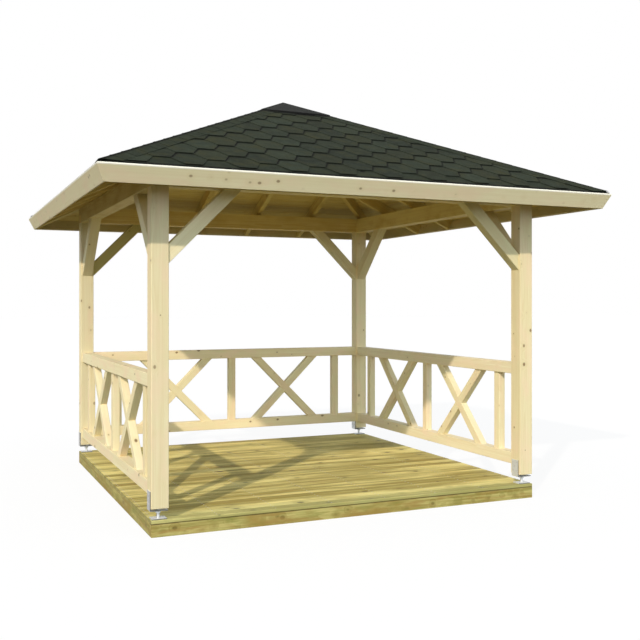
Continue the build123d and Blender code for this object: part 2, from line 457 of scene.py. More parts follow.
class Finish(Nodes):
    """A material being built, with the Principled shader at its end."""

    def __init__(self, name):
        self.material = bpy.data.materials.new(name)
        super().__init__(self.material)
        surface = self.node("BsdfPrincipled")
        self.shader = surface.socket.node
        self.node("OutputMaterial", {}, {"Surface": surface})

    def place(self):
        """Object coordinates, in metres."""
        return self.node("TexCoord", output="Object")

    def facing(self, direction):
        """How far the surface faces a direction, from -1 to 1."""
        return self.dot(self.node("TexCoord", output="Normal"), direction)

    def painted(self, name):
        """A number painted on the faces."""
        return self.node("Attribute", {"attribute_name": name}, output="Fac")

    def noise(self, vector, scale, detail, roughness=0.5):
        """Soft noise from 0 to 1."""
        inputs = {"Vector": vector, "Scale": scale, "Detail": detail, "Roughness": roughness}
        return self.node("TexNoise", {}, inputs)

    def chance(self, number):
        """A number from 0 to 1 drawn for each whole number."""
        return self.node("TexWhiteNoise", {"noise_dimensions": "1D"}, {"W": number}, "Value")

    def cells(self, vector, scale=1.0, output="Color"):
        """Cells around scattered points: the colour or the position of the nearest."""
        return self.node("TexVoronoi", {}, {"Vector": vector, "Scale": scale}, output)

    def mix(self, factor, first, second):
        """A colour between two colours."""
        rgba = [tuple(c) + (1.0,) if not isinstance(c, Value) else c for c in (first, second)]
        return self.node("Mix", {"data_type": "RGBA"}, {0: factor, 6: rgba[0], 7: rgba[1]}, 2)

    def bump(self, height, distance, strength):
        """Normal of a rough surface."""
        return self.node("Bump", {}, {"Height": height, "Distance": distance, "Strength": strength})

    def matt(self, colour, roughness, relief, depth, strength, sheen):
        """Ends a finish without metal, its relief standing as a bump of some depth and strength."""
        normal = self.bump(relief, depth, strength)
        return self.finished(Base_Color=colour, Roughness=roughness, Normal=normal, Specular_IOR_Level=sheen)

    def end_grain(self, grain):
        """1 on the sawn ends of a timber and 0 along it."""
        return abs(self.facing(grain)).within(0.7, 0.95)

    def sheet_edge(self):
        """1 on the cut edges of a sheet of the roof and 0 on its upper face."""
        return 1.0 - self.facing(UP).within(0.62, 0.78)

    def finished(self, **sockets):
        """Fills the Principled shader's sockets and returns the material."""
        for name, value in sockets.items():
            self.connect(self.shader.inputs[name.replace("_", " ")], value)
        return self.material


# ---------------- finishes

# What a wood finish is made of: the spacing and strength of its growth rings, the strength of its
# streaks, bands and board-to-board tones, the warm clouds, and the spacing and size of its knots.
SPRUCE = dict(
    ring=0.0042, rings=0.3, streaks=0.9, bands=0.6, band_scale=22.0, tones=0.4, blush=0.75, knot_gap=0.15,
    knot_size=0.012,
)
BRACE_TIMBER = dict(SPRUCE, knot_gap=0.3, blush=0.35)
BOARDING = dict(SPRUCE, streaks=1.2, bands=0.7, tones=0.12, blush=0.1, knot_gap=0.4)
DECKING = dict(
    ring=0.0046, rings=0.3, streaks=1.9, bands=2.7, band_scale=14.0, tones=1.0, blush=0.25, knot_gap=0.3,
    knot_size=0.022,
)
RIM_TIMBER = dict(
    DECKING, streaks=2.6, bands=2.2, band_scale=22.0, tones=0.3, blush=0.9, knot_gap=0.055, knot_size=0.02
)

# Depth and strength of the relief of planed timber, and its sheen.
PLANED = (0.0005, 0.35, 0.12)

# Shift of the grain from one piece to the next, so that no two pieces look alike.
PIECE_SHIFT = 3.71

# Timbers that stand out: posts greyed by age, braces darkened by painted shade, and single timbers made
# paler, darker or bluer as painted light and shade.
GREYED = {"front_left": 0.2, "back_left": 0.25}
SHADED_BRACES = {"knee_braces_back_left": 0.7, "knee_braces_front_right": 0.22}
LIGHT_AND_SHADE_TONE = {
    "beam_left": (0.87, 0.87, 0.85),
    "beam_back": (1.12, 1.13, 1.22),
    "beam_right": (1.07, 1.07, 1.12),
    "fascia_left": (0.95, 0.95, 0.95),
    "post_back_right": (1.13, 1.12, 1.12),
    "railing_back_rails": (1.08, 1.08, 1.13),
    "railing_right_rails": (1.07, 1.09, 1.2),
    "railing_right_uprights": (1.03, 1.03, 1.03),
}

# Colours that belong to one finish each.
RIM_WARM = (0.50, 0.28, 0.09)
RIM_GREEN = (0.28, 0.33, 0.085)
RIM_AGED = (0.185, 0.165, 0.03)
RIM_TOP_DARK = (0.06, 0.05, 0.015)
DECK_END = (0.22, 0.20, 0.06)
SHEET_DARK = (0.008, 0.009, 0.0075)
SHEET_LIGHT = (0.030, 0.032, 0.030)
SHEET_EDGE = (0.008, 0.008, 0.008)
ZINC_DARK = (0.60, 0.62, 0.63)
ZINC_LIGHT = (0.84, 0.86, 0.87)
ZINC_EDGE_SHADE = (0.10, 0.10, 0.095)
ZINC_STRAP_SHADE = (0.25, 0.24, 0.235)
STEEL_DARK = (0.50, 0.50, 0.49)
STEEL_LIGHT = (0.72, 0.72, 0.70)


def grain_frame(finish, grain, side, heart, step, seed):
    """Distances of a point from its timber's heart: along the grain, across, in depth, and its number."""
    place = finish.vector("SUBTRACT", finish.place(), tuple(heart))
    across = finish.dot(place, side)
    depth = finish.dot(place, Vector(grain).cross(side))
    number = (across / step + 0.5).floor() if step else across * 0.0
    along_grain = finish.dot(place, grain) + number * PIECE_SHIFT + seed
    return along_grain, across - number * step, depth, number + seed


def wood(finish, run, shades, timber):
    """Growth rings, fibres and knots of sawn timber: its colour, its relief and the reach of its knots."""
    along_grain, across, depth, number = run
    pale, deep, knot_colour, blush = shades

    def drawn(share):
        """A place whose length along the grain is shortened, so that a pattern runs with the grain."""
        return finish.combined(across, depth, along_grain * share)

    # Noise for the wander of the rings, for the fibres, for streaks and for broad bands.
    wander = finish.noise(drawn(0.12), 7.0, 2.0) - 0.5
    fine = drawn(0.015)
    fibre = finish.noise(fine, 420.0, 2.0, 0.6)
    streak = finish.noise(fine, 75.0, 3.0, 0.55)
    band = finish.noise(drawn(0.06), timber["band_scale"], 2.0, 0.5)

    # One possible knot in each cell of the timber, and how far a point is from it.
    cell = (0.075, 0.075, timber["knot_gap"])
    spot = finish.vector("DIVIDE", drawn(1.0), cell)
    chance = finish.cells(spot)
    offset = finish.vector("SUBTRACT", finish.cells(spot, output="Position"), spot)
    offset = finish.vector("MULTIPLY", offset, cell)
    offset = finish.vector("MULTIPLY", offset, (1.0, 1.0, 0.75))
    reach = finish.vector("LENGTH", offset, output="Value") + wander * 0.004
    share = reach / (finish.dot(chance, RIGHT * timber["knot_size"]) + 0.003)
    grown = finish.dot(chance, BACK).within(0.35, 0.75)
    knot = (1.0 - share.within(0.5, 1.15)) * grown
    halo = (1.0 - share.within(0.8, 3.2)) * grown

    # Growth rings around the heart, bent by the knots, then the colours laid over each other.
    radius = (across * across + depth * depth).root() + wander * 0.03 + halo * 0.006
    phase = radius / timber["ring"]
    late = (phase - phase.floor()).within(0.25, 0.95)
    shade = late * timber["rings"] + (streak - 0.5) * timber["streaks"] + (band - 0.5) * timber["bands"]
    shade = shade + (fibre - 0.5) * 0.35 + (finish.chance(number) - 0.5) * timber["tones"]
    shade = shade + 0.5 - timber["rings"] * 0.5
    colour = finish.mix(shade.within(-0.15, 1.15), pale, deep)
    cloud = finish.noise(drawn(0.4), 8.0, 3.0, 0.55)
    colour = finish.mix(cloud.within(0.42, 0.7) * timber["blush"], colour, blush)
    colour = finish.mix(halo * 0.45, colour, deep)
    colour = finish.mix(knot * 0.85, colour, knot_colour)
    return colour, late * 0.5 + fibre * 0.6 + knot * 0.4, halo


def timber_shades(roof=False):
    """Colours of the planed timber; the roof timbers get deeper, warmer colours as painted shade under the
    roof.
    """
    timber = bpy.context.scene.gazebo_timber
    if roof:
        return timber.roof_shade_pale, timber.roof_shade_deep, Vector(timber.roof_shade_deep) * 0.6, timber.roof_shade_deep
    return timber.pale, timber.deep, timber.knot, timber.blush


def deck_shades():
    """Colours of pressure-treated pine."""
    deck = bpy.context.scene.gazebo_deck
    return deck.pale, deck.deep, deck.knot, deck.blush


def sawn(node, grain, side, heart, step=0.0, timber=SPRUCE, roof=False, grey=0.0, bleached=None):
    """Planed timber with its grain in one direction, greyed, or greyed with a painted highlight along its top
    face and top edge.
    """
    settings = bpy.context.scene.gazebo_timber
    chance = random.Random(node)
    finish = Finish(f"spruce_{node}")
    grain, side = Vector(grain), Vector(side)
    turn = chance.uniform(0, math.tau)
    off = chance.uniform(0.035, 0.07)
    heart = Vector(heart) + side * off * math.cos(turn) + grain.cross(side) * off * math.sin(turn)
    run = grain_frame(finish, grain, side, heart, step, chance.uniform(0, 40))
    # Painted light and shade: some timbers are made paler, darker or bluer for the light that falls on them.
    tone = LIGHT_AND_SHADE_TONE.get(node, (1.0, 1.0, 1.0))
    shades = [tuple(map(operator.mul, shade, tone)) for shade in timber_shades(roof)]
    colour, relief, halo = wood(finish, run, shades, timber)
    end = finish.end_grain(grain)
    colour = finish.mix(end * 0.45, colour, shades[1])
    # A painted highlight: the top face and the top few millimetres below the crest are painted near white,
    # where the sun catches the edge.
    if bleached:
        colour = finish.mix(grey, colour, settings.grey)
        crest = max(vertex.co.dot(bleached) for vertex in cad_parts[node].data.vertices)
        upper = finish.facing(bleached).within(0.85, 0.95)
        upper = upper + finish.dot(finish.place(), bleached).within(crest - 0.012, crest - 0.007)
        colour = finish.mix(upper * 0.9, colour, settings.bleached)
    elif grey:
        weather = 1.0 - abs(finish.facing(RIGHT)).within(0.4, 0.6)
        colour = finish.mix(weather * grey, colour, settings.grey)
    return finish.matt(colour, 0.66 - halo * 0.1 + end * 0.15, relief, *PLANED)


def brace_finish(corner):
    """Planed timber for two braces that climb away from a corner in two walls."""
    node = f"knee_braces_{corner}"
    x_side, y_side = CORNERS[corner]
    chance = random.Random(node)
    finish = Finish(f"spruce_{node}")
    place = finish.place()
    outer_x = finish.dot(place, RIGHT * x_side)
    outer_y = finish.dot(place, BACK * y_side)
    height = finish.dot(place, UP)
    in_front = outer_y > BRACE_INNER_FACE
    reach = outer_x * in_front + outer_y * (1.0 - in_front)
    through = outer_y * in_front + outer_x * (1.0 - in_front)
    grain = (height - reach) * DIAGONAL + chance.uniform(0, 40) + in_front * 5.3
    across = (height + reach - (middle_of(node).z + BRACE_REACH)) * DIAGONAL + chance.uniform(-0.05, 0.05)
    depth = through - POST_OFFSET + chance.choice((-1, 1)) * chance.uniform(0.04, 0.07)
    run = (grain, across, depth, grain * 0.0 + in_front)
    colour, relief, halo = wood(finish, run, timber_shades(), BRACE_TIMBER)
    # Painted shade: the brace in the wall is darkened where it stands in the roof's shade.
    if node in SHADED_BRACES:
        colour = finish.mix(in_front * SHADED_BRACES[node], colour, bpy.context.scene.gazebo_timber.brace_shade)
    return finish.matt(colour, 0.66 - halo * 0.1, relief, *PLANED)


def shingle_finish():
    """Mineral granules on bitumen, with painted shadows beside and below the tabs, under the apex cap, along
    the hip bends and along the eave, and dark cut edges.
    """
    roof = bpy.context.scene.gazebo_roof
    finish = Finish("mineral_shingle")
    place = finish.place()
    speck = finish.dot(finish.cells(place, 520.0), (0.5, 0.3, 0.2))
    cloud = finish.noise(place, 14.0, 4.0, 0.6)
    patch = finish.noise(finish.vector("ADD", place, (5.0, 5.0, 5.0)), 9.0, 4.0, 0.65)
    base = Vector(roof.colour)
    shade = speck * 0.5 + (finish.painted("tone") - 0.5) * 0.4 + (cloud - 0.5) * 1.1 + 0.1
    colour = finish.mix(shade, base * 0.5, base * 1.6)
    olive = base * Vector((1.4, 1.12, 0.75))
    colour = finish.mix(finish.painted("tint") * 0.5 + patch.within(0.45, 0.72) * 0.7, colour, olive)

    # Painted shadow: dark where a tab runs under the row above it, beside and below that row's tabs, where
    # their edges cast shade.
    spot = finish.node("UVMap", {"uv_map": "tab"})
    length = finish.dot(spot, BACK)
    shoulder = (roof.tab_pitch - roof.tab_foot) / 2
    slant = Vector((roof.exposure, -(shoulder - roof.tab_foot / 2), 0)).normalized()
    beside = finish.dot(spot, slant) - Vector((-shoulder, roof.exposure, 0)).dot(slant)
    beside = (1.0 - beside.within(0.004, 0.02)) * (beside > -0.02)
    below = (length - 2 * roof.exposure).within(-0.028, -0.009)
    tab_shadow = (beside + below) * (length > roof.exposure)
    colour = finish.mix(tab_shadow * 0.95, colour, base * 0.08)

    # Painted shadow under the rim of the apex cap.
    reach = abs(finish.dot(place, RIGHT)).larger(abs(finish.dot(place, BACK)))
    cap_shadow = 1.0 - reach.within(CAP_HIGH.x + 0.03, CAP_HIGH.x + 0.055)
    colour = finish.mix(cap_shadow * 0.95, colour, base * 0.1)

    # Cut edges are a touch darker, the bitumen's own colour; the foot edges are much darker, partly bitumen
    # and partly painted shade under each tab.
    edge = finish.sheet_edge()
    colour = finish.mix(edge, colour, base * 0.95)
    colour = finish.mix(edge * (length < 0.001), colour, base * 0.15)
    # Painted shade: the bend of each hip cap and the whole dark strip along the eave are darkened where shade
    # falls.
    fold = finish.painted("fold")
    aside = abs(finish.dot(spot, RIGHT))
    hip_and_eave_shade = (fold > 0.75) + (fold > 0.25) * (1.0 - aside.within(0.02, 0.032))
    colour = finish.mix(hip_and_eave_shade * 0.85, colour, base * 0.16)
    return finish.matt(colour, 0.92 - edge * 0.25, speck, 0.0012, 0.5, 0.12)


def sheet_finish():
    """Mineral sheet of the apex cap."""
    finish = Finish("cap_sheet")
    place = finish.place()
    speck = finish.dot(finish.cells(place, 620.0), (0.4, 0.4, 0.2))
    cloud = finish.noise(place, 10.0, 3.0, 0.6)
    colour = finish.mix(speck * 0.6 + (cloud - 0.5) * 0.6 + 0.1, SHEET_DARK, SHEET_LIGHT)
    colour = finish.mix(finish.sheet_edge(), colour, SHEET_EDGE)
    return finish.matt(colour, 0.9, speck, 0.001, 0.5, 0.15)


def galvanised_finish():
    """Hot-dip zinc with its crystal pattern, with painted shade on the front and back edges of its plates and
    straps and on the left-facing faces of the left feet.
    """
    finish = Finish("galvanised_steel")
    place = finish.place()
    warp = finish.noise(place, 60.0, 2.0)
    moved = finish.vector("ADD", place, finish.combined(warp, warp, warp))
    shade = finish.dot(finish.cells(moved, 110.0), (0.5, 0.3, 0.2))
    colour = finish.mix(shade, ZINC_DARK, ZINC_LIGHT)
    # Painted shade: the front and back edges of the plates and straps are painted near black.
    aside = abs(abs(finish.dot(place, BACK)) - POST_OFFSET) > 0.03
    edge_shade = aside * (abs(finish.facing(BACK)) > 0.9)
    colour = finish.mix(edge_shade * 0.85, colour, ZINC_EDGE_SHADE)
    # Painted shade: the left-facing faces of the left feet are painted darker.
    dull = (finish.facing(RIGHT) < -0.9) * (finish.dot(place, RIGHT) < 0.0)
    colour = finish.mix(dull * 0.6, colour, ZINC_STRAP_SHADE)
    normal = finish.bump(warp, 0.0004, 0.2)
    return finish.finished(Base_Color=colour, Metallic=0.4, Roughness=0.38 + shade * 0.2, Normal=normal)


def screw_finish():
    """Plain stainless steel of the screws."""
    finish = Finish("screw_steel")
    scratch = finish.noise(finish.place(), 900.0, 2.0)
    colour = finish.mix(scratch, STEEL_DARK, STEEL_LIGHT)
    return finish.finished(Base_Color=colour, Metallic=0.7, Roughness=0.35 + scratch * 0.2)


def deck_finish(step, heart):
    """Treated pine boards that run along the front, the foremost ones greener from the treatment."""
    finish = Finish("deck_board_finish")
    salt = bpy.context.scene.gazebo_deck.salt
    along_grain, across, depth, number = grain_frame(finish, RIGHT, BACK, heart, step, 3.0)
    tone = finish.chance(number * 1.7)
    run = (along_grain, across + (tone - 0.5) * 0.06, depth + 0.03 + tone * 0.05, number)
    colour, relief, halo = wood(finish, run, deck_shades(), DECKING)
    place = finish.place()
    mottle = finish.noise(finish.vector("MULTIPLY", place, (0.6, 2.0, 1.0)), 5.0, 3.0, 0.6)
    inner = finish.dot(place, BACK) + (mottle - 0.5) * 0.3
    front = 1.0 - inner.within(DECK_LOW.y + 0.05, DECK_LOW.y + 0.22)
    broad = finish.noise(finish.vector("MULTIPLY", place, (0.25, 1.0, 1.0)), 5.5, 3.0, 0.55)
    colour = finish.mix(broad.within(0.42, 0.7) * 0.6, colour, deck_shades()[1])
    colour = finish.mix(front * 0.4 + mottle.within(0.5, 0.8) * 0.25, colour, salt)
    colour = finish.mix(finish.end_grain(RIGHT) * 0.75, colour, DECK_END)
    return finish.matt(colour, 0.7 - halo * 0.1, relief, 0.0006, 0.4, 0.25)


def deck_frame_finish():
    """Treated pine of the rims and joists, patchy, and darker along the top of the front and back rims."""
    finish = Finish("deck_frame_finish")
    place = finish.place()
    x, y, z = (finish.dot(place, axis) for axis in (RIGHT, BACK, UP))
    cross = abs(y) > RIM_HIGH.y - RIM_THICKNESS
    along_grain = x * cross + y * (1.0 - cross)
    across = y * cross + x * (1.0 - cross)
    run = (along_grain, across + 0.04, z - 0.06, cross)
    colour, relief, halo = wood(finish, run, deck_shades(), RIM_TIMBER)
    patch = finish.noise(finish.combined(across, z * 2.5, along_grain * 0.45), 9.0, 4.0, 0.65)
    colour = finish.mix(patch.within(0.45, 0.68) * 0.8, colour, RIM_WARM)
    colour = finish.mix((1.0 - patch.within(0.28, 0.48)) * 0.6, colour, RIM_GREEN)
    colour = finish.mix(0.58 - cross * 0.06, colour, RIM_AGED)
    top_band = z.within(RIM_HIGH.z - 0.009, RIM_HIGH.z - 0.003) * cross
    colour = finish.mix(top_band * 0.8, colour, RIM_TOP_DARK)
    return finish.matt(colour, 0.72 - halo * 0.1, relief, 0.0007, 0.4, 0.25)


# ---------------- pieces


class GAZEBO_OT_timber(Operator):
    """Gives every planed timber of the frame and the railings its finish, with the grain along it"""

    bl_idname = "gazebo.timber"
    bl_label = "Timber finish"

    def execute(self, context):
        for corner in CORNERS:
            self.corner(corner)
        for side in SIDES:
            self.side(side)
        for side in RAILED:
            self.railing(side)
        return {"FINISHED"}

    def finish(self, node, *grain, knot_gap=SPRUCE["knot_gap"], **more):
        """Planed timber on a node; grain is its directions, its heart and the step to the next piece."""
        coat(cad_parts[node], sawn(node, *grain, timber=dict(SPRUCE, knot_gap=knot_gap), **more))

    def corner(self, corner):
        """A post, the hip rafter that leans to it and its two braces."""
        self.finish(f"post_{corner}", UP, RIGHT, middle_of(f"post_{corner}"), grey=GREYED.get(corner, 0.0))
        to_middle, up_hip = hip_ways(corner)
        top = UP * (APEX - HIP_RAFTER_HEART / COS)
        self.finish(f"hip_rafter_{corner}", up_hip, to_middle.cross(UP), top, roof=True)
        coat(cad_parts[f"knee_braces_{corner}"], brace_finish(corner))

    def side(self, side):
        """A wall plate, the jack rafters over it and the fascia board before them."""
        way, up_slope = along(side), way_up(side)
        self.finish(f"beam_{side}", way, UP, middle_of(f"beam_{side}"), roof=True)
        heart = slope_frame(side) @ FASCIA_HEART
        face = way.cross(up_slope)
        # The fascia's top face and top edge carry a painted highlight.
        self.finish(f"fascia_{side}", way, up_slope, heart, knot_gap=0.07, grey=0.3, bleached=face)
        heart = UP * (APEX - JACK_RAFTER_HEART / COS) + way * (JACK_RAFTER_PITCH / 2)
        self.finish(f"rafters_{side}", up_slope, way, heart, JACK_RAFTER_PITCH, roof=True)

    def railing(self, side):
        """The rails, the uprights and the crossed bars of one side."""
        way = along(side)
        low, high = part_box(f"railing_{side}_rails")
        heart = (low + high) / 2
        heart.z = low.z + RAIL_DEPTH / 2
        self.finish(f"railing_{side}_rails", way, UP, heart, high.z - low.z - RAIL_DEPTH)
        low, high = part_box(f"railing_{side}_uprights")
        middle = (low + high) / 2
        step = (max(high.x - low.x, high.y - low.y) - UPRIGHT_WIDTH) / 2
        self.finish(f"railing_{side}_uprights", UP, way, middle, step, knot_gap=0.12)
        heart = middle + way * step / 2
        for lean, name in ((1, "rising"), (-1, "falling")):
            grain, across = (UP + way * lean) * DIAGONAL, (way - UP * lean) * DIAGONAL
            self.finish(f"railing_{side}_{name}_bars", grain, across, heart, step * DIAGONAL)


class GAZEBO_OT_deck(Operator):
    """Lays the boards of the deck with a gap between them and screws them to the joists"""

    bl_idname = "gazebo.deck"
    bl_label = "Deck boards"

    def execute(self, context):
        deck = context.scene.gazebo_deck
        pitch = (DECK_HIGH.y - DECK_LOW.y + deck.gap) / deck.boards
        width = pitch - deck.gap
        first = block("deck_board", DECK_LOW, (DECK_HIGH.x, DECK_LOW.y + width, DECK_HIGH.z))
        round_edges(first, lambda middle, way: abs(way.x) > 0.9, deck.edge, 2)
        places = [moved(0, pitch * number, 0) for number in range(deck.boards)]
        planking = joined("deck_planking", placed_copies(first, places))
        start = Vector((0, DECK_LOW.y + width / 2, DECK_HIGH.z))
        hand_over(planking, deck_finish(pitch, start), ("deck_boards",))
        coat(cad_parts["deck_frame"], deck_frame_finish())
        self.screws(deck, pitch, width)
        return {"FINISHED"}

    def screws(self, deck, pitch, width):
        """Two screws where each board crosses a joist or a side rim."""
        radius, height, sunk = 0.0042, 0.0012, 0.0004
        start = RIM_LOW.x + RIM_THICKNESS / 2
        span = RIM_HIGH.x - RIM_LOW.x - RIM_THICKNESS
        spots = []
        for board in range(deck.boards):
            for joist in range(deck.joists):
                for share in (0.24, 0.76):
                    x = start + span * joist / (deck.joists - 1)
                    y = DECK_LOW.y + board * pitch + width * share
                    spots.append(moved(x, y, DECK_HIGH.z - sunk))
        screwed("deck_screws", radius, height, spots, screw_finish())


def screwed(name, radius, height, spots, finish):
    """Screw heads at several spots, as one piece."""
    hand_over(joined(name, placed_copies(screw(radius, height), spots)), finish)


def screw(radius, height):
    """Head of a wood screw with a recess for the driver, standing on the ground at the origin."""
    wall, recess, rounding = radius * 0.45, height * 0.6, height * 0.35
    nothing()
    bpy.ops.mesh.primitive_cylinder_add(vertices=10, radius=radius, depth=height, location=(0, 0, height / 2))
    head = named_start("screw")
    select_parts(head, "FACE", lambda face: face.normal.z > 0.9)
    bpy.ops.mesh.inset(thickness=wall)
    bpy.ops.mesh.extrude_region_move(TRANSFORM_OT_translate={"value": (0, 0, -recess)})
    leave_edit()
    top, outer = height * 0.99, radius * 0.9
    round_edges(head, lambda middle, way: middle.z > top and middle.xy.length > outer, rounding)
    return head


class GAZEBO_OT_boarding(Operator):
    """Lays the V-jointed roof boards of the four slopes, mitred at the hips"""

    bl_idname = "gazebo.boarding"
    bl_label = "Roof boards"

    def execute(self, context):
        roof = context.scene.gazebo_roof
        rows = math.ceil((SLOPE_LENGTH - BOARDING_START) / roof.board_width)
        for side in SIDES:
            self.slope(roof, side, rows)
        return {"FINISHED"}

    def slope(self, roof, side, rows):
        """The boards of one slope; their ends run past the hips and are cut off along them."""
        reach, joint = COVERING_REACH + 0.02, 0.0008
        low = (-reach, BOARDING_START, -BOARDING_DEPTH)
        high = (reach, BOARDING_START + roof.board_width - joint, 0)
        first = block(f"roof_board_{side}", low, high)
        lower_edge = -BOARDING_DEPTH / 2
        round_edges(first, lambda middle, way: abs(way.x) > 0.9 and middle.z < lower_edge, roof.groove)
        place = slope_frame(side)
        places = [place @ moved(0, roof.board_width * row, 0) for row in range(rows)]
        boards = placed_copies(first, places)
        whole = joined(f"roof_boarding_{side}", [board for board in boards if mitred(board, side)])
        heart = place @ Vector((0, BOARDING_START + roof.board_width / 2, -0.01))
        grain = (along(side), way_up(side), heart, roof.board_width)
        material = sawn(f"boarding_{side}", *grain, BOARDING, roof=True)
        hand_over(whole, material, (f"roof_boards_{side}",))


class GAZEBO_OT_shingles(Operator):
    """Lays the courses of hexagonal shingles on the four slopes"""

    bl_idname = "gazebo.shingles"
    bl_label = "Shingles"

    def execute(self, context):
        roof = context.scene.gazebo_roof
        material = shingle_finish()
        for side in SIDES:
            chance = random.Random(f"shingles {side}")
            self.slope(roof, side, chance, material)
        return {"FINISHED"}

    def slope(self, roof, side, chance, material):
        """The tabs of one slope over a strip along the eave, cut off along the hips."""
        start, stagger, margin = 0.23, 0.5, 0.05
        depth, lift, tilt = lapped(roof, 2.35, roof.sheet, 0.0008)
        pattern = tab(roof, depth)
        place = slope_frame(side)
        pieces = []
        for row in range(int((SLOPE_LENGTH - roof.first_course) / roof.exposure)):
            foot = roof.first_course + row * roof.exposure
            half_width = COVERING_REACH - foot * COS + margin
            shift = stagger * (row % 2) + start
            count = int(half_width / roof.tab_pitch) + 2
            for number in range(-count, count + 1):
                x = (number + shift) * roof.tab_pitch
                if abs(x) > half_width + roof.tab_pitch / 2:
                    continue
                piece = placed_copy(pattern, place @ moved(x, foot, lift) @ tilt)
                paint(piece, tone=chance.random(), tint=max(0.0, chance.gauss(0.15, 0.3)), fold=0.0)
                pieces.append(piece)
        discard(pattern)
        pieces += self.strips(roof, side, place, depth)
        whole = joined(f"shingles_laid_{side}", [piece for piece in pieces if mitred(piece, side)])
        hand_over(whole, material, (f"shingles_{side}",))

    def strips(self, roof, side, place, depth):
        """The strip under the first row of tabs, and a dark strip along the eave whose black paints the
        shadow line under the shingles' edge.
        """
        reach = COVERING_REACH
        nose, width, stiffer, rise = 0.001, 0.025, 0.002, 0.0006
        starter = block(f"eave_strip_{side}", (-reach, 0, 0), (reach, depth, roof.sheet))
        eave_shadow = block(f"eave_shadow_strip_{side}", (-reach, -nose, 0), (reach, width, roof.sheet + stiffer))
        for strip, lift in ((starter, rise), (eave_shadow, 0.0)):
            lay_map(strip)
            strip.data.transform(place @ moved(0, 0, lift))
        paint(starter, tone=0.4, tint=0.1, fold=0.0)
        paint(eave_shadow, tone=0.0, tint=0.0, fold=1.0)
        return [starter, eave_shadow]


def lapped(roof, courses, sheet, clear=0.0):
    """Depth of a sheet that spans a number of courses, its lift over the sheet below, and its tilt."""
    depth = courses * roof.exposure
    lift = sheet * depth / roof.exposure + clear
    return depth, lift, Matrix.Rotation(-math.atan2(lift, depth), 4, "X")


def tab(roof, depth):
    """One hexagonal tab with its head, the foot of the tab at the origin."""
    shoulder = (roof.tab_pitch - roof.tab_foot) / 2
    half_pitch = roof.tab_pitch / 2
    piece = block("shingle_tab", (-half_pitch, roof.exposure, 0), (half_pitch, depth, roof.sheet))
    for x in (-shoulder, shoulder):
        cut(piece, (x, 0, 0), RIGHT)
    select_parts(piece, "FACE", lambda face: face.normal.y < -0.9 and abs(face.calc_center_median().x) < 0.01)
    bpy.ops.mesh.extrude_region_move(TRANSFORM_OT_translate={"value": (0, -roof.exposure, 0)})
    bpy.ops.transform.resize(value=(roof.tab_foot / (2 * shoulder), 1, 1))
    leave_edit()
    lay_map(piece)
    return piece


class GAZEBO_OT_hips(Operator):
    """Lays the bent caps over the four hips"""

    bl_idname = "gazebo.hips"
    bl_label = "Hip caps"

    def execute(self, context):
        roof = context.scene.gazebo_roof
        material = bpy.data.materials.get("mineral_shingle") or shingle_finish()
        for corner in CORNERS:
            self.hip(roof, corner, material)
        return {"FINISHED"}

    def hip(self, roof, corner, material):
        """The caps of one hip, from the corner of the eave nearly to the apex, and level with the eaves."""
        chance = random.Random(f"hip {corner}")
        to_middle, up_hip = hip_ways(corner)
        level = up_hip.cross(UP).normalized()
        fall = SIN / math.sqrt(1 + COS**2)
        axes = Matrix((level, up_hip, level.cross(up_hip))).transposed().to_4x4()
        foot = -to_middle * COVERING_REACH * math.sqrt(2) + UP * EAVE_HEIGHT
        length = (UP * APEX - foot).length
        rise, below_cap, thinness = 0.0145, 0.2, 0.4
        base = moved(*(foot + UP * rise)) @ axes
        sheet = thinness * roof.sheet
        depth, lift, tilt = lapped(roof, 2.2, sheet)
        rows = range(int((length - below_cap) / roof.exposure))
        places = [base @ moved(0, row * roof.exposure, lift) @ tilt for row in rows]
        pieces = placed_copies(bent_cap(roof, depth, fall, sheet), places)
        for piece in pieces:
            # The bend of each cap gets its painted shade.
            paint(piece, tone=0.48 + 0.04 * chance.random(), tint=0.15 + 0.04 * chance.random(), fold=0.5)
        whole = joined(f"hip_caps_{corner}", pieces)
        for side in SIDES:
            if inward(side).dot(to_middle) > 0:
                cut_away(whole, -inward(side) * (COVERING_REACH - MITRE_SLACK), -inward(side))
        hand_over(whole, material)


def bent_cap(roof, depth, fall, sheet):
    """A flat cap bent over a hip, its foot at the origin and the bend along y."""
    width, sag, bend = roof.hip_width, 0.004, 0.01
    piece = block("hip_cap", (-width, 0, 0), (width, depth, sheet))
    lay_map(piece)
    cut(piece, (0, 0, 0), RIGHT)
    drop = width * fall / math.sqrt(1 - fall * fall) + sag
    select_parts(piece, "VERT", lambda vertex: abs(vertex.co.x) > width * 0.9)
    bpy.ops.transform.translate(value=(0, 0, -drop))
    leave_edit()
    round_edges(piece, lambda middle, way: abs(middle.x) < 0.001 and abs(way.y) > 0.9, bend, 2)
    return piece


class GAZEBO_OT_cap(Operator):
    """Finishes the cap over the apex"""

    bl_idname = "gazebo.cap"
    bl_label = "Apex cap"

    def execute(self, context):
        coat(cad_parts["apex_cap"], sheet_finish())
        return {"FINISHED"}


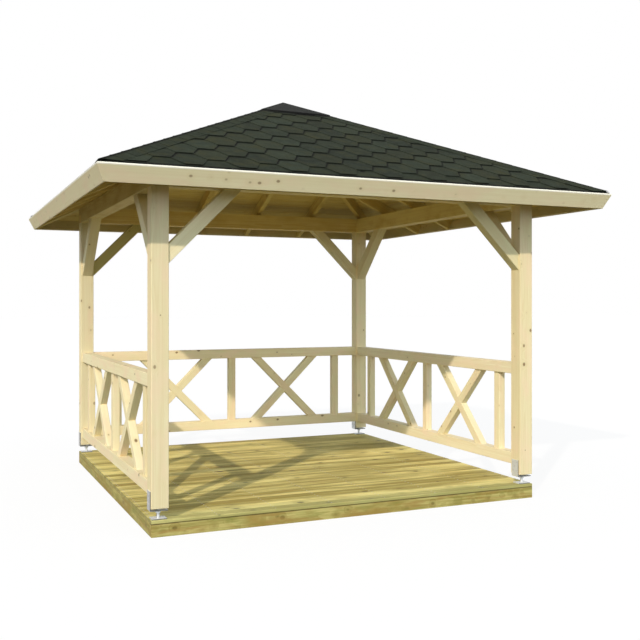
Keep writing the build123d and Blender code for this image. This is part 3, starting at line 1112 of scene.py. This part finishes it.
class GAZEBO_OT_feet(Operator):
    """Finishes the steel feet and adds their screws"""

    bl_idname = "gazebo.feet"
    bl_label = "Post feet"

    PLATE_TOP = 0.0048
    PLATE_SCREWS = [(x, y) for x in (-0.038, 0.038) for y in (-0.027, 0.027)]
    STRAP_LENGTH = 0.11
    STRAP_SCREWS = [(-0.022, 0.03), (0.022, 0.03), (0.0, 0.062), (-0.022, 0.094), (0.022, 0.094)]

    def execute(self, context):
        zinc = galvanised_finish()
        steel = screw_finish()
        for corner in CORNERS:
            coat(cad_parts[f"post_foot_{corner}"], zinc)
            self.fasteners(corner, steel)
        return {"FINISHED"}

    def fasteners(self, corner, steel):
        """Four screws in the base plate and five in the strap."""
        radius, height, sunk = 0.0065, 0.0028, 0.0002
        low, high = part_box(f"post_foot_{corner}")
        centre = middle_of(f"post_{corner}")
        top, foot = low.z + self.PLATE_TOP, high.z - self.STRAP_LENGTH
        left = Matrix.Rotation(math.radians(-90), 4, "Y")
        spots = [moved(centre.x + x, centre.y + y, top) for x, y in self.PLATE_SCREWS]
        spots += [moved(low.x + sunk, centre.y + y, foot + z) @ left for y, z in self.STRAP_SCREWS]
        screwed(f"foot_screws_{corner}", radius, height, spots, steel)


class GAZEBO_OT_studio(Operator):
    """Sets up the camera, the lamps and the floor"""

    bl_idname = "gazebo.studio"
    bl_label = "Studio"

    CAMERA_PLACE = (-2.8011, -7.1574, 1.5033)
    CAMERA_TURN = -0.4144
    CAMERA_SHIFT = -0.02544
    SUN_COLOUR = (1.0, 0.88, 0.76)
    SUN_WIDTH, SUN_TILT, SUN_TURN = (math.radians(angle) for angle in (1.3, 57.7, -45))
    SKY_COLOUR = (0.81, 0.92, 1.0, 1)
    SKY_PEAK = 4.0
    FLOOR_BOUNCE = (0.13, 0.12, 0.075, 1)
    FLOOR_PALE = (0.95, 0.95, 0.95, 1)
    FLOOR_SIZE = 160

    def execute(self, context):
        studio = context.scene.gazebo_studio
        scene = context.scene
        scene.view_settings.view_transform = "Standard"

        lens = bpy.data.cameras.new("camera")
        lens.lens = studio.lens
        lens.sensor_width = 36
        lens.shift_y = self.CAMERA_SHIFT
        lens.clip_end = 200
        camera = bpy.data.objects.new("camera", lens)
        camera.location = self.CAMERA_PLACE
        camera.rotation_euler = (math.pi / 2, 0, self.CAMERA_TURN)
        scene.collection.objects.link(camera)
        scene.camera = camera

        key = bpy.data.lights.new("key_light", "SUN")
        key.energy = studio.sun
        key.angle = self.SUN_WIDTH
        key.color = self.SUN_COLOUR
        lamp = bpy.data.objects.new("key_light", key)
        lamp.rotation_euler = (self.SUN_TILT, 0, self.SUN_TURN)
        scene.collection.objects.link(lamp)

        self.sky(scene, studio)
        self.floor()
        return {"FINISHED"}

    def sky(self, scene, studio):
        """Soft blue fill light, stronger in front, and white where the camera sees it."""
        scene.world = bpy.data.worlds.new("studio_sky")
        nodes = Nodes(scene.world)
        way = nodes.node("TexCoord", output="Generated")
        low = 1.0 - nodes.dot(way, UP)
        low = low * low
        share = (1.0 - studio.lean * nodes.dot(way, BACK)) * (1.0 + studio.haze * low * low)
        lights = ((0, 0, 0, 1), 0.0), (self.SKY_COLOUR, self.SKY_PEAK * studio.sky), ((1, 1, 1, 1), 1.0)
        kind = "Background"
        dark, bright, white = (nodes.node(kind, {}, {"Color": c, "Strength": s}) for c, s in lights)
        surface = nodes.blend(nodes.seen(), nodes.blend(share / self.SKY_PEAK, dark, bright), white)
        nodes.node("OutputWorld", {}, {"Surface": surface})

    def floor(self):
        """Pale floor that keeps a light shadow and throws little light back."""
        nothing()
        bpy.ops.mesh.primitive_plane_add(size=self.FLOOR_SIZE, location=(0, 0, 0))
        floor = bpy.context.object
        floor.name = "floor"
        material = bpy.data.materials.new("floor")
        nodes = Nodes(material)
        dull = nodes.node("BsdfDiffuse", {}, {"Color": self.FLOOR_BOUNCE})
        pale = nodes.node("BsdfDiffuse", {}, {"Color": self.FLOOR_PALE})
        glow = nodes.node("Emission", {}, {"Strength": 1.0})
        surface = nodes.blend(nodes.seen(), dull, nodes.blend(0.9, pale, glow))
        nodes.node("OutputMaterial", {}, {"Surface": surface})
        floor.data.materials.append(material)


STEPS = (
    GAZEBO_OT_timber,
    GAZEBO_OT_deck,
    GAZEBO_OT_boarding,
    GAZEBO_OT_shingles,
    GAZEBO_OT_hips,
    GAZEBO_OT_cap,
    GAZEBO_OT_feet,
    GAZEBO_OT_studio,
)


class GAZEBO_PT_panel(Panel):
    """Buttons for the pieces of the gazebo and the settings they use"""

    bl_label = "Gazebo"
    bl_idname = "GAZEBO_PT_panel"
    bl_space_type = "VIEW_3D"
    bl_region_type = "UI"
    bl_category = "Gazebo"

    def draw(self, context):
        for group in GROUPS:
            box = self.layout.box()
            settings = getattr(context.scene, group)
            for name in settings.__annotations__:
                box.prop(settings, name)
        for step in STEPS:
            self.layout.operator(step.bl_idname)


def register():
    for group, settings in GROUPS.items():
        bpy.utils.register_class(settings)
        setattr(bpy.types.Scene, group, PointerProperty(type=settings))
    for step in STEPS + (GAZEBO_PT_panel,):
        bpy.utils.register_class(step)


def unregister():
    for step in reversed(STEPS + (GAZEBO_PT_panel,)):
        bpy.utils.unregister_class(step)
    for group, settings in GROUPS.items():
        delattr(bpy.types.Scene, group)
        bpy.utils.unregister_class(settings)


def main():
    register()
    for step in STEPS:
        area, name = step.bl_idname.split(".")
        getattr(getattr(bpy.ops, area), name)()


if __name__ == "__main__":
    main()
